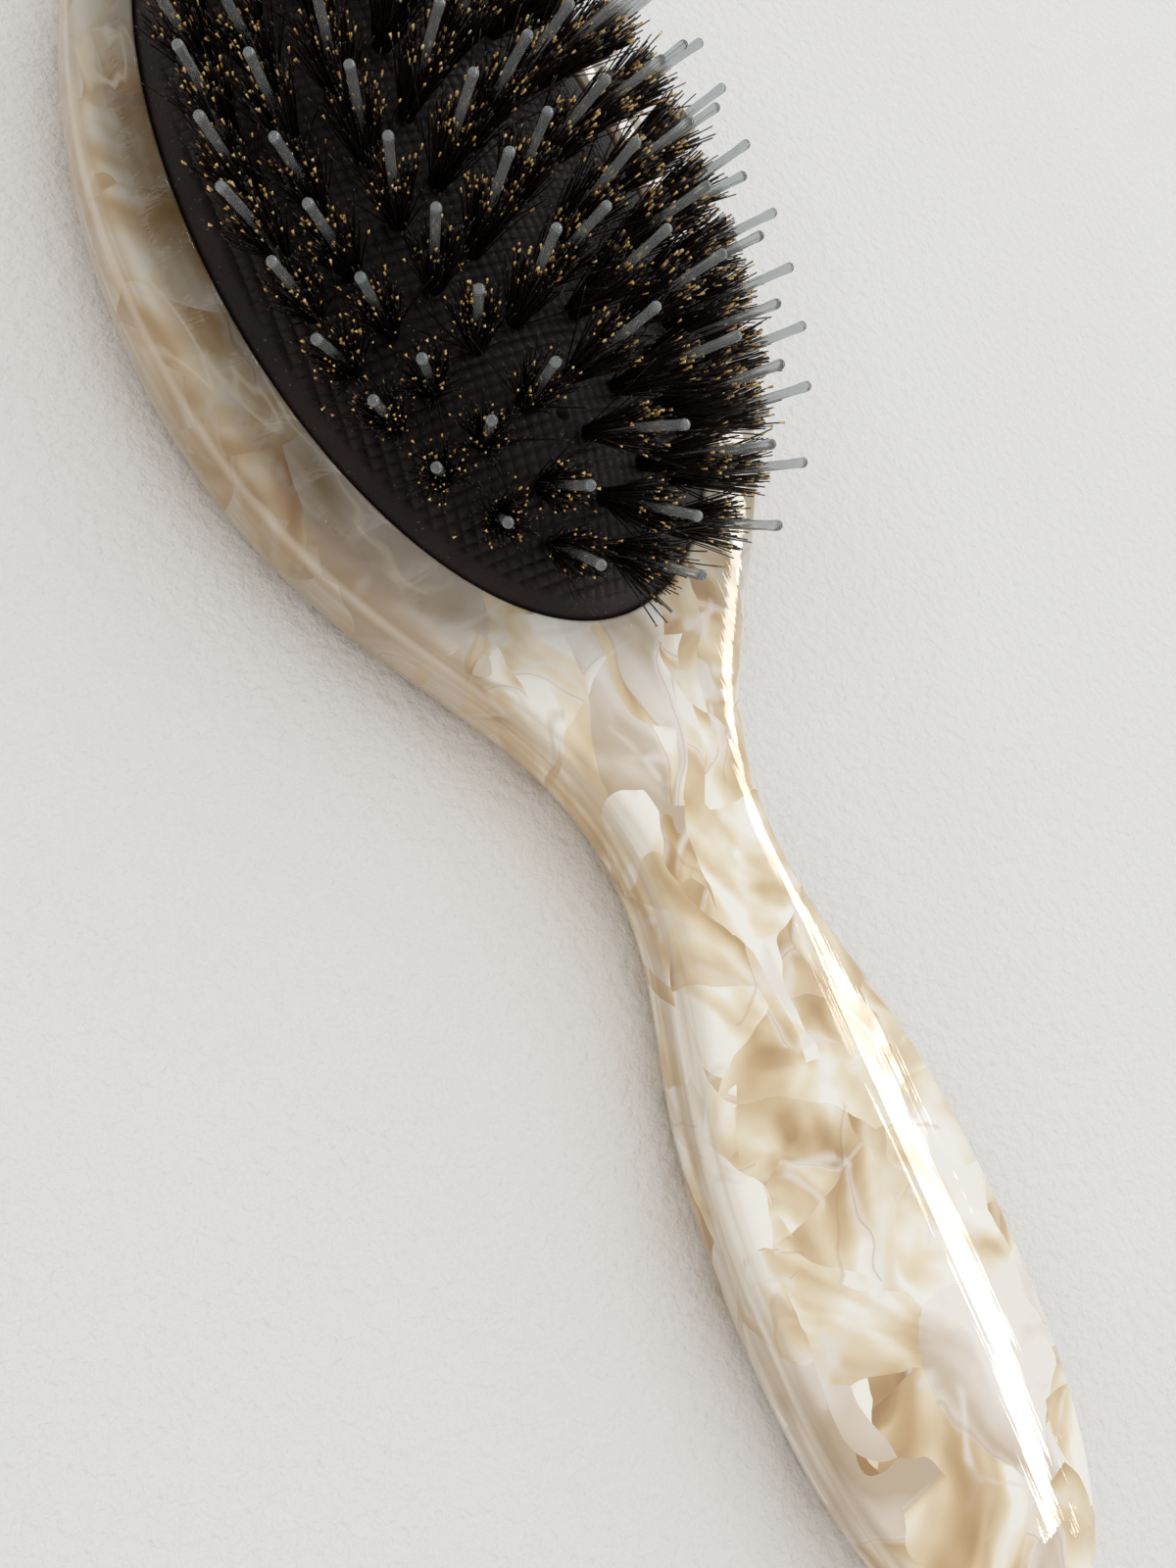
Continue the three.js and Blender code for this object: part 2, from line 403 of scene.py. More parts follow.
def grid_between(outer, inner_loops, pitch, margin):
    """Grid points inside the outer loop and outside the inner ones, at least the margin from each."""
    grid = hex_grid(body_low, body_high, pitch)
    grid = grid[inside(grid, outer)]
    grid = grid[distance_to(grid, outer) > margin]
    for loop in inner_loops:
        grid = grid[~inside(grid, loop)]
        grid = grid[distance_to(grid, loop) > margin]
    return grid


def make_body(material):
    """The acetate head and grip as one closed mesh, with the pocket that holds the cushion."""
    outline = mirrored(right_outline(OUTLINE_SPACING))
    fine_outline = mirrored(right_outline(OUTLINE_SPACING / 5))
    inwards = inward_normals(outline)
    patches = Patches()

    # The rounded edge, from the upper face over the widest line to the back.
    rings = []
    for inset in reversed(edge_insets(TOP_EDGE_WIDTH, TOP_EDGE_STEPS)):
        loop = outline + inwards * inset
        rings.append(at_height(loop, upper_height(inset, outline[:, 1])))
    top_loop = rings[0][:, :2]
    for inset in edge_insets(BACK_EDGE_WIDTH, BACK_EDGE_STEPS)[1:]:
        rings.append(at_height(outline + inwards * inset, back_height(inset)))
    patches.add_rings(rings)
    back_loop = rings[-1][:, :2]

    # The pocket for the cushion: a rounded lip, a wall and a floor.
    lip_rings = []
    for k in range(LIP_STEPS + 1):
        angle = math.pi / 2 * k / LIP_STEPS
        grow = POCKET_GAP + LIP_RADIUS * (1 - math.sin(angle))
        loop = oval(CUSHION_HALF_WIDTH + grow, CUSHION_HALF_LENGTH + grow, POCKET_POINTS)
        lip_rings.append(at_height(loop, BODY_TOP - LIP_RADIUS * (1 - math.cos(angle))))
    lip_rings.append(at_height(lip_rings[-1][:, :2], CHAMBER_FLOOR_Z))
    patches.add_rings(lip_rings)
    patches.add_cap(lip_rings[-1])
    lip_loop = lip_rings[0][:, :2]

    # The upper face between the edge and the lip, and the flat back.
    grid = grid_between(top_loop, [lip_loop], **TOP_GRID)
    flat, triangles = fill(top_loop, [lip_loop], grid)
    height = upper_height(distance_to(flat, fine_outline), flat[:, 1])
    on_lip = distance_to(flat, lip_loop) < ON_LOOP
    height = np.where(on_lip, BODY_TOP, height)
    on_edge = distance_to(flat, top_loop) < ON_LOOP
    gaps = ((flat[on_edge, None] - top_loop) ** 2).sum(axis=2)
    height[on_edge] = rings[0][np.argmin(gaps, axis=1), 2]
    height = smoothed(height, triangles, on_lip | on_edge, SMOOTHING_PASSES)
    patches.add(at_height(flat, height), triangles)
    flat, triangles = fill(back_loop, [], grid_between(back_loop, [], **BACK_GRID))
    patches.add(at_height(flat, 0), triangles)

    body = make_object("acetate_body", patches.vertices, patches.faces, [material])
    weld(body)
    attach(body, "brush_body")
    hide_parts("handle_body")


# ---------------------------------------------------------------- rubber cushion

def oval_size(points, inset):
    """Below 1 within the oval at that inset from the cushion's edge, and above 1 outside it."""
    across = (points[:, 0] / (CUSHION_HALF_WIDTH - inset)) ** 2
    along = (points[:, 1] / (CUSHION_HALF_LENGTH - inset)) ** 2
    return across + along


def inset_of(points):
    """Inset from the cushion's edge of the level oval through each point, by bisection."""
    low = np.zeros(len(points))
    high = np.full(len(points), CUSHION_HALF_WIDTH - 1e-6)
    for _ in range(BISECTIONS):
        middle = (low + high) / 2
        within = oval_size(points, middle) < 1
        low = np.where(within, middle, low)
        high = np.where(within, high, middle)
    return low


def dome_height(inset):
    return RIM_Z + DOME_HEIGHT * (1 - (1 - inset / CUSHION_HALF_WIDTH) ** 2)


def groove(coordinate):
    """0 on the raised squares and 1 at the bottom of the grooves between them, along one axis."""
    offset = np.abs((coordinate / GRID_PITCH + 0.5) % 1 - 0.5) * GRID_PITCH
    return np.clip(1 - offset / GROOVE_HALF_WIDTH, 0, 1)


def grid_lines(half_size):
    """Places of the grid's vertices along one axis: both edges and the bottom of every groove."""
    count = math.ceil(half_size / GRID_PITCH)
    centres = np.arange(-count, count + 1) * GRID_PITCH
    return np.concatenate([centres + shift for shift in (-GROOVE_HALF_WIDTH, 0, GROOVE_HALF_WIDTH)])


def make_cushion(material):
    """The domed cushion as one closed mesh: a smooth border, the grid of raised squares and the vent."""
    rings = [oval(CUSHION_HALF_WIDTH - inset, CUSHION_HALF_LENGTH - inset, CUSHION_POINTS)
             for inset in BORDER_INSETS]
    heights = dome_height(np.array(BORDER_INSETS))
    patches = Patches()
    skirt_top = heights[0] - BORDER_DROPS[0] - SKIRT_DROP
    skirt = [at_height(rings[0], SKIRT_Z), at_height(rings[0], skirt_top)]
    patches.add_cap(skirt[0])
    border_rings = [at_height(ring, z - drop) for ring, z, drop in zip(rings, heights, BORDER_DROPS)]
    patches.add_rings([*skirt, *border_rings])

    xs, ys = np.meshgrid(grid_lines(CUSHION_HALF_WIDTH), grid_lines(CUSHION_HALF_LENGTH))
    points = np.stack([xs.ravel(), ys.ravel()], axis=1)
    points = points[oval_size(points, BORDER_WIDTH) < 1]
    points = points[inset_of(points) > BORDER_WIDTH + BORDER_MARGIN]
    vent_loop = oval(VENT_RADIUS, VENT_RADIUS, VENT_SIDES) + VENT
    points = points[np.hypot(*(points - VENT).T) > VENT_RADIUS + VENT_MARGIN]
    flat, triangles = fill(rings[-1], [vent_loop], points)
    inset = inset_of(flat)
    relief = np.maximum(groove(flat[:, 0]), groove(flat[:, 1]))
    relief *= smooth_step(inset, BORDER_WIDTH + RELIEF_STARTS, BORDER_WIDTH + RELIEF_FULL)
    from_vent = np.hypot(*(flat - VENT).T)
    relief *= smooth_step(from_vent, VENT_RADIUS, VENT_RADIUS + RELIEF_FULL_BY_VENT)
    patches.add(at_height(flat, dome_height(inset) - GROOVE_DEPTH * relief), triangles)

    vent_top = dome_height(inset_of(vent_loop))
    vent_rings = [at_height(vent_loop, vent_top), at_height(vent_loop, vent_top - VENT_DEPTH)]
    patches.add_rings(vent_rings)
    patches.add_cap(vent_rings[-1])

    cushion = make_object("cushion_dome", patches.vertices, patches.faces, [material])
    weld(cushion)
    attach(cushion, "brush_body")
    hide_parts("rubber_cushion")
    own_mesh(cushion)


# ---------------------------------------------------------------- tufts

def row_places(row):
    """Point on the dome and direction of each tuft of a row, spaced evenly along its oval."""
    half_width = CUSHION_HALF_WIDTH - row["inset"]
    half_length = CUSHION_HALF_LENGTH - row["inset"]
    fine = oval(half_width, half_length, 4000)
    fine = np.concatenate([fine, fine[:1]])
    along = np.concatenate([[0], np.cumsum(np.hypot(*np.diff(fine, axis=0).T))])
    lean = math.radians(row["lean"])
    places = []
    for i in range(row["count"]):
        distance = (i + row["offset"]) / row["count"] * along[-1]
        x, y = (np.interp(distance, along, fine[:, k]) for k in (0, 1))
        outward = Vector((x / half_width ** 2, y / half_length ** 2, 0)).normalized()
        direction = outward * math.sin(lean) + Vector((0, 0, math.cos(lean)))
        places.append((Vector((x, y, dome_height(row["inset"]))), direction))
    return places


def middle_places():
    """The upright tufts along the cushion's middle line, each with its point and direction."""
    ys = (np.arange(MIDDLE_COUNT) - (MIDDLE_COUNT - 1) / 2) * MIDDLE_PITCH
    return [(Vector((0, y, DOME_TOP)), Vector((0, 0, 1))) for y in ys]


def axes_across(direction):
    """Two unit vectors at right angles to the direction and to each other."""
    side = direction.orthogonal().normalized()
    return np.array(side), np.array(direction.cross(side).normalized())


def tilted(direction, degrees):
    """The direction turned by about that angle towards a random side."""
    side, other = axes_across(direction)
    shift = random.normal(0, math.radians(degrees), 2)
    return (direction + Vector(side * shift[0] + other * shift[1])).normalized()


def make_pin(name, point, direction, material):
    """A round nylon pin, very slightly bent, with a thicker rounded tip."""
    side, other = axes_across(direction)
    tip_start = PIN_LENGTH - PIN_TIP_RADIUS
    stations = [(-PIN_ROOT, PIN_RADIUS)]
    shaft = np.linspace(0, tip_start - PIN_SHAFT_END, PIN_SHAFT_RINGS)
    stations += [(height, PIN_RADIUS) for height in shaft]
    stations.append((tip_start - PIN_SWELL_MIDDLE, (PIN_RADIUS + PIN_TIP_RADIUS) / 2))
    stations.append((tip_start - PIN_SWELL_END, PIN_TIP_RADIUS))
    for angle in np.radians(PIN_TIP_ANGLES):
        rise = PIN_TIP_RADIUS * math.sin(angle)
        stations.append((tip_start + rise, PIN_TIP_RADIUS * math.cos(angle)))
    bend = random.normal(0, PIN_BEND, 2)
    turn = np.linspace(0, 2 * math.pi, PIN_SIDES, endpoint=False)[:, None]
    ring = np.cos(turn) * side + np.sin(turn) * other
    rings = []
    for height, radius in stations:
        sag = (max(height, 0) / PIN_LENGTH) ** 2
        centre = np.array(point) + np.array(direction) * height
        centre += (side * bend[0] + other * bend[1]) * sag
        rings.append(centre + ring * radius)
    patches = Patches()
    patches.add_cap(rings[0])
    patches.add_rings(rings)
    patches.add_cap(rings[-1])
    pin = make_object(name, patches.vertices, patches.faces, [material])
    weld(pin)
    return pin


def make_bristles(name, point, direction, materials):
    """Thin tapered bristles that fan out round the pin, some of them with a short pale tip."""
    point, along = np.array(point), np.array(direction)
    side, other = axes_across(direction)
    vertices = []
    faces = []
    face_materials = []
    turns = np.radians(np.arange(BRISTLE_SIDES) * 360 / BRISTLE_SIDES)
    for _ in range(BRISTLES):
        angle = random.uniform(0, 2 * math.pi)
        spread = math.sqrt(random.uniform(*SPREAD_SQUARED))
        outwards = math.cos(angle) * side + math.sin(angle) * other
        stray = random.random() < STRAY["share"]
        fan = spread * random.normal(FAN["mean"], FAN["deviation"]) * (STRAY["fan"] if stray else 1)
        wander = random.normal(0, WANDER, 2)
        way = along + outwards * math.tan(math.radians(fan)) + side * wander[0] + other * wander[1]
        way /= np.linalg.norm(way)
        length = BRISTLE_LENGTH * random.normal(1, LENGTH_DEVIATION) + (STRAY["longer"] if stray else 0)
        base = point + outwards * TUFT_ROOT_RADIUS * spread
        bend = side * random.normal(0, BEND) + other * random.normal(0, BEND)
        radius = BRISTLE_RADIUS * random.uniform(*RADIUS_SHARES)
        pale = random.random() < PALE_SHARE["inner" if spread < INNER_SPREAD else "outer"]
        flare = random.uniform(*PALE_FLARES) if pale else DARK_FLARE
        tip_length = random.uniform(*TIP_LENGTHS)
        stations = [
            (-BRISTLE_ROOT, 1),
            (length * 0.45, 1),
            (length * 0.8, 0.92),
            (length - tip_length, 0.85),
            (length, flare),
        ]
        first = len(vertices)
        across = Vector(way).orthogonal().normalized()
        u, v = np.array(across), np.array(Vector(way).cross(across))
        for height, share in stations:
            centre = base + way * height + bend * (max(height, 0) / length) ** 2
            vertices.extend(centre + radius * share * (math.cos(t) * u + math.sin(t) * v) for t in turns)
        for s in range(len(stations) - 1):
            ring = first + BRISTLE_SIDES * s
            for k in range(BRISTLE_SIDES):
                a, b = ring + k, ring + (k + 1) % BRISTLE_SIDES
                faces.append((a, b, b + BRISTLE_SIDES, a + BRISTLE_SIDES))
                face_materials.append(1 if pale and s == len(stations) - 2 else 0)
        last = first + BRISTLE_SIDES * (len(stations) - 1)
        faces.append((last, last + 1, last + 2))
        faces.append((first + 2, first + 1, first))
        face_materials.extend([1 if pale else 0, 0])
    return make_object(name, vertices, faces, materials, face_materials)


def make_tufts(row_name, places, nodes, nylon, bristle_materials):
    """A pin and a bunch of bristles at each place, both tilted a little from the row's own lean."""
    for i, (point, direction) in enumerate(places):
        number = f"{i + 1:02d}"
        leaning = tilted(direction, TUFT_TILT)
        pin = make_pin(f"pin_{row_name}_{number}", point, leaning, nylon)
        bristles = make_bristles(f"bristles_{row_name}_{number}", point, leaning, bristle_materials)
        for piece in (pin, bristles):
            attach(piece, f"tufts_{row_name}")
            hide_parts(nodes[i])


# ---------------------------------------------------------------- materials

# Places of the colour sockets of a Mix node, which share their names with sockets of other kinds.
MIX_SHARE = 0
MIX_FIRST = 6
MIX_SECOND = 7
MIX_RESULT = 2


class Shader:
    """A material's node tree, with short calls for adding and joining nodes."""

    def __init__(self, name):
        self.material = bpy.data.materials.new(name)
        self.material.use_nodes = True
        self.tree = self.material.node_tree
        self.principled = next(n for n in self.tree.nodes if n.type == "BSDF_PRINCIPLED")
        coordinates = self.add("ShaderNodeTexCoord")
        self.place = self.vector("SCALE", coordinates.outputs["Object"], scale=1 / MM)

    def add(self, kind, **settings):
        made = self.tree.nodes.new(kind)
        for key, value in settings.items():
            setattr(made, key, value)
        return made

    def feed(self, socket, value):
        """Links an output to a socket, or sets the socket's own value."""
        if isinstance(value, bpy.types.NodeSocket):
            self.tree.links.new(value, socket)
        else:
            socket.default_value = value

    def set(self, **values):
        """Feeds the principled shader's sockets, named with underscores in place of spaces."""
        for key, value in values.items():
            self.feed(self.principled.inputs[key.replace("_", " ")], value)

    def math(self, operation, *values):
        made = self.add("ShaderNodeMath", operation=operation)
        for socket, value in zip(made.inputs, values):
            self.feed(socket, value)
        return made.outputs[0]

    def vector(self, operation, *values, scale=None):
        made = self.add("ShaderNodeVectorMath", operation=operation)
        for socket, value in zip(made.inputs, values):
            self.feed(socket, value)
        if scale is not None:
            self.feed(made.inputs["Scale"], scale)
        return made.outputs["Value" if operation in ("DOT_PRODUCT", "LENGTH") else "Vector"]

    def noise(self, place, scale, detail=2.0, roughness=0.5):
        made = self.add("ShaderNodeTexNoise")
        self.feed(made.inputs["Vector"], place)
        made.inputs["Scale"].default_value = scale
        made.inputs["Detail"].default_value = detail
        made.inputs["Roughness"].default_value = roughness
        return made

    def warped(self, place, scale, reach, detail=1.0):
        """The place moved about by up to half of the reach, smoothly."""
        shift = self.vector("SUBTRACT", self.noise(place, scale, detail).outputs["Color"], (0.5,) * 3)
        return self.vector("ADD", place, self.vector("SCALE", shift, scale=reach))

    def cells(self, place, size):
        """Cells of about that many millimetres, each with a random colour."""
        made = self.add("ShaderNodeTexVoronoi")
        self.feed(made.inputs["Vector"], place)
        made.inputs["Scale"].default_value = 1 / size
        return made

    def span(self, value, start, end, low=0.0, high=1.0, smooth=True):
        """The value's place between start and end, as a number from low to high."""
        kind = "SMOOTHSTEP" if smooth else "LINEAR"
        made = self.add("ShaderNodeMapRange", interpolation_type=kind)
        for socket, entry in zip(made.inputs, (value, start, end, low, high)):
            self.feed(socket, entry)
        return made.outputs[0]

    def mix(self, share, first, second, blend="MIX"):
        """The first colour or vector at a share of 0, and the second at a share of 1."""
        made = self.add("ShaderNodeMix", data_type="RGBA", blend_type=blend)
        for number, value in ((MIX_SHARE, share), (MIX_FIRST, first), (MIX_SECOND, second)):
            self.feed(made.inputs[number], value)
        return made.outputs[MIX_RESULT]

    def ramp(self, value, stops):
        """The colour at a value, between stops of a position and a hexadecimal colour."""
        made = self.add("ShaderNodeValToRGB")
        elements = made.color_ramp.elements
        while len(elements) < len(stops):
            elements.new(0.5)
        for element, (position, text) in zip(elements, stops):
            element.position = position
            element.color = colour(text)
        self.feed(made.inputs["Fac"], value)
        return made.outputs["Color"]

    def bump(self, height, distance, strength=1.0, normal=None):
        """A bump whose height of 1 stands for that many millimetres."""
        made = self.add("ShaderNodeBump")
        made.inputs["Strength"].default_value = strength
        made.inputs["Distance"].default_value = distance * MM
        self.feed(made.inputs["Height"], height)
        if normal is not None:
            self.feed(made.inputs["Normal"], normal)
        return made.outputs["Normal"]


def colour(text):
    """A linear colour with alpha, from a hexadecimal sRGB one."""
    parts = [int(text[i:i + 2], 16) / 255 for i in (0, 2, 4)]
    linear = [p / 12.92 if p <= 0.04045 else ((p + 0.055) / 1.055) ** 2.4 for p in parts]
    return (*linear, 1)


# Layers of pearl flakes: the size of their cells, and how the cells are turned, stretched and shifted.
FLAKE_LAYERS = [
    {"size": 15.0, "turns": (0.3, 0.1, 0.6), "stretch": (1.0, 0.6, 1.0), "shift": (0, 0, 0)},
    {"size": 11.5, "turns": (0.9, 0.5, -0.5), "stretch": (1.1, 0.62, 0.9), "shift": (37, 11, 5)},
    {"size": 13.0, "turns": (0.2, 1.2, 1.4), "stretch": (0.7, 1.15, 1.0), "shift": (5, 53, 29)},
]
FLAKE_SLOPE_REACH = 0.55
SATIN_STRETCH = (0.035, 0.26, 0.26)


def flake_layer(shader, place, size, turns, stretch, shift):
    """One layer of pearl flakes. Each flake is a tilted plane, with a way it leans, a tone that runs
    across it in satin folds, a random kind and a height. The tone is painted sheen: it runs from dark to
    light across each flake and rises and falls in the folds, over the flake's own random tone."""
    mapping = shader.add("ShaderNodeMapping")
    shader.feed(mapping.inputs["Vector"], place)
    mapping.inputs["Rotation"].default_value = turns
    mapping.inputs["Scale"].default_value = stretch
    mapping.inputs["Location"].default_value = shift
    own_place = mapping.outputs["Vector"]
    cell = shader.cells(own_place, size)
    offset = shader.vector("SUBTRACT", own_place, cell.outputs["Position"])
    lean = shader.vector("SUBTRACT", cell.outputs["Color"], (0.5,) * 3)
    across = shader.vector("DOT_PRODUCT", offset, shader.vector("NORMALIZE", lean))
    slope = shader.span(across, -FLAKE_SLOPE_REACH * size, FLAKE_SLOPE_REACH * size, smooth=False)
    parts = shader.add("ShaderNodeSeparateColor")
    shader.feed(parts.inputs[0], cell.outputs["Color"])
    folds = shader.noise(shader.vector("MULTIPLY", own_place, SATIN_STRETCH), 1.0, 1.5).outputs["Fac"]
    # Painted sheen: the tone runs from dark to light across the flake and rises and falls in the satin
    # folds, over the flake's own random tone.
    tone = shader.math("MULTIPLY_ADD", slope, 0.6, shader.math("MULTIPLY", parts.outputs[0], 0.26))
    tone = shader.math("ADD", tone, shader.span(folds, 0.28, 0.72, -0.3, 0.46, smooth=False))
    return {
        "lean": lean,
        "tone": tone,
        "kind": parts.outputs[1],
        "height": shader.math("ADD", slope, shader.math("MULTIPLY", parts.outputs[2], 0.45)),
    }


def lay_over(shader, upper, lower, softness):
    """The two layers as one: at each place the flake that is higher there shows."""
    gap = shader.math("SUBTRACT", upper["height"], lower["height"])
    share = shader.span(gap, shader.math("MULTIPLY", softness, -1.0), softness)
    return {
        "lean": shader.mix(share, lower["lean"], upper["lean"]),
        "tone": shader.span(share, 0.0, 1.0, lower["tone"], upper["tone"], smooth=False),
        "kind": shader.span(share, 0.0, 1.0, lower["kind"], upper["kind"], smooth=False),
        "height": shader.math("MAXIMUM", upper["height"], lower["height"]),
        "gap": shader.math("ABSOLUTE", gap),
    }


def line_along(shader, value, centre, width):
    """1 where the value is at the centre, falling to 0 at that width from it."""
    distance = shader.math("ABSOLUTE", shader.math("SUBTRACT", value, centre))
    return shader.math("SUBTRACT", 1.0, shader.span(distance, 0.0, width))


def cushion_place(shader):
    """The level place as shares of the cushion's half sizes: its length is 1 at the cushion's edge."""
    shares = (1 / CUSHION_HALF_WIDTH, 1 / CUSHION_HALF_LENGTH, 0)
    return shader.vector("MULTIPLY", shader.place, shares)


# From the darkest tan to the lightest cream of the pearl, and the same for its lilac white flakes.
# Their lightest stops give the pearl's painted sheen and flashes.
PEARL_STOPS = [(0.06, "b28a5a"), (0.28, "d0af81"), (0.50, "e6cfaa"), (0.70, "f6e8ce"), (0.86, "fffbf2")]
LILAC_STOPS = [(0.2, "d0bca2"), (0.5, "e8dacb"), (0.85, "fbf5ec")]

# Long folds: a shift and a scale of the noise that places them. Creases at the flakes' borders, where
# the foil folds: the pale one is a painted highlight and the two tan ones are painted shade. For each:
# how far it reaches, how strong it is and its colour.
LONG_FOLDS = [((70, 0, 0), 0.06), ((0, 90, 0), 0.085)]
PALE_CREASE = {"reach": 0.055, "strength": 0.6, "tint": "f6efe7"}
PAIR_CREASE = {"reach": 0.018, "strength": 0.25, "tint": "b58d64"}
DARK_CREASE = {"reach": 0.008, "strength": 0.4, "tint": "c09a74"}


def creased(shader, base, gap, reach, strength, tint):
    """The colour with a crease where the gap in height between two flakes is near 0. The crease is
    painted light: a pale tint paints a fold's highlight, a tan one its shade.
    """
    crease = shader.math("SUBTRACT", 1.0, shader.span(gap, 0.0, reach))
    return shader.mix(shader.math("MULTIPLY", crease, strength), base, colour(tint))


def acetate_material():
    """Mother-of-pearl acetate: overlapping satin flakes of cream, tan and lilac white in clear gloss. Its
    colour also holds painted light: the pearl's sheen, highlights and shade at the flakes' folds, shade
    towards the cushion and on the steep sides, and a highlight along the edges.
    """
    shader = Shader("acetate_pearl")
    broad = shader.warped(shader.place, 0.045, 15)
    place = shader.warped(broad, 0.17, 2.4, detail=1.5)
    wander = shader.noise(shader.place, 0.11, 1.0).outputs["Fac"]
    satin = shader.noise(broad, 0.16, 2.0).outputs["Fac"]
    softness = shader.span(wander, 0.36, 0.62, 0.004, 0.07)
    first, second, third = [flake_layer(shader, place, **layer) for layer in FLAKE_LAYERS]
    pair = lay_over(shader, second, first, softness)
    flakes = lay_over(shader, third, pair, softness)

    tone = shader.math("ADD", flakes["tone"], shader.span(satin, 0.3, 0.7, -0.12, 0.12, smooth=False))
    pearl = shader.ramp(tone, PEARL_STOPS)
    lilac = shader.ramp(tone, LILAC_STOPS)
    base = shader.mix(shader.span(flakes["kind"], 0.74, 0.80), pearl, lilac)

    # Whitish folds run across the flakes in long curves.
    for shift, scale in LONG_FOLDS:
        curve = shader.noise(shader.vector("ADD", broad, shift), scale, 0.6).outputs["Fac"]
        width = shader.span(satin, 0.4, 0.65, 0.01, 0.03)
        strength = shader.span(satin, 0.47, 0.6, 0.0, 0.75)
        fold = shader.math("MULTIPLY", line_along(shader, curve, 0.5, width), strength)
        base = shader.mix(fold, base, colour("f3ebe2"))
    # Painted highlight and painted shade at the flakes' borders, where the foil folds.
    base = creased(shader, base, flakes["gap"], **PALE_CREASE)
    base = creased(shader, base, pair["gap"], **PAIR_CREASE)
    base = creased(shader, base, flakes["gap"], **DARK_CREASE)

    # Round the cushion the sheet is drawn into folds along the rim. On the head's sides the colour is
    # darkened more and more towards the cushion: painted shade from the tufts and the dome, together
    # with the dark chamber showing through the slightly clear sheet.
    flat = cushion_place(shader)
    outside = shader.vector("LENGTH", flat)
    rim = shader.math("SUBTRACT", 1.0, shader.span(outside, 1.1, 1.6, smooth=False))
    across = shader.add("ShaderNodeSeparateXYZ")
    shader.feed(across.inputs[0], shader.vector("NORMALIZE", flat))
    beside = shader.span(shader.math("ABSOLUTE", across.outputs["X"]), 0.3, 0.8)
    rim = shader.math("MULTIPLY", rim, beside)
    turn = shader.vector("SCALE", shader.vector("NORMALIZE", flat), scale=2.6)
    layers = shader.vector("MULTIPLY_ADD", outside, (0, 0, 5.5), turn)
    drawn = shader.noise(layers, 1.0, 2.0).outputs["Fac"]
    # Painted shade: darker towards the cushion on the head's sides, varying with the folds.
    near = shader.math("MULTIPLY", rim, shader.span(drawn, 0.3, 0.6, 1.0, 0.72))
    base = shader.mix(near, base, colour("8e7d66"), blend="MULTIPLY")
    rim_line = line_along(shader, drawn, 0.55, 0.026)
    rim_strength = shader.math("MULTIPLY", shader.span(rim, 0.0, 0.3), 0.65)
    base = shader.mix(shader.math("MULTIPLY", rim_line, rim_strength), base, colour("cfc2ae"))

    # The flakes lie level in the sheet, so its rounded edges cut through them as thin darker layers.
    # These are laid on by how steep the face is, so they also paint shade on the body's sides. One pale
    # line just above the body's widest height is a painted highlight along the edge.
    geometry = shader.add("ShaderNodeNewGeometry").outputs["Normal"]
    facing = shader.add("ShaderNodeSeparateXYZ")
    shader.feed(facing.inputs[0], geometry)
    section = shader.vector("MULTIPLY", shader.place, (0.03, 0.03, 0.7))
    layer = shader.noise(section, 1.0, 2.0).outputs["Fac"]
    steep = shader.span(facing.outputs["Z"], 0.8, 0.15)
    # Painted shade on the steep sides, in thin layers where the flakes are cut.
    cut_layers_and_side_shade = shader.math("MULTIPLY", steep, shader.span(layer, 0.35, 0.65, 0.15, 0.6))
    base = shader.mix(cut_layers_and_side_shade, base, colour("a98c64"))
    # Painted highlight: a pale line along the edge, just above its widest height.
    painted_edge_highlight = shader.math("MULTIPLY", line_along(shader, facing.outputs["Z"], 0.18, 0.12), 0.35)
    base = shader.mix(painted_edge_highlight, base, colour("f1e8da"))

    # Pearl flakes lean a different way each, under a polished surface that follows the body.
    lean = shader.vector("SCALE", flakes["lean"], scale=0.35)
    leaning = shader.vector("NORMALIZE", shader.vector("ADD", geometry, lean))

    waves = shader.noise(shader.place, 0.09, 1.5).outputs["Fac"]
    along = shader.vector("MULTIPLY", shader.place, (1.5, 0.03, 1.5))
    streaks = shader.noise(along, 1.0, 2.0).outputs["Fac"]
    polish = shader.bump(waves, 0.14)
    polish = shader.bump(streaks, 0.022, normal=polish)

    shader.set(Base_Color=base, Roughness=shader.span(wander, 0.3, 0.7, 0.4, 0.52),
               Normal=leaning, Coat_Normal=polish)
    shader.set(Specular_IOR_Level=0.2, IOR=1.45, Coat_Weight=1.0, Coat_Roughness=0.02, Coat_IOR=1.55)
    return shader.material


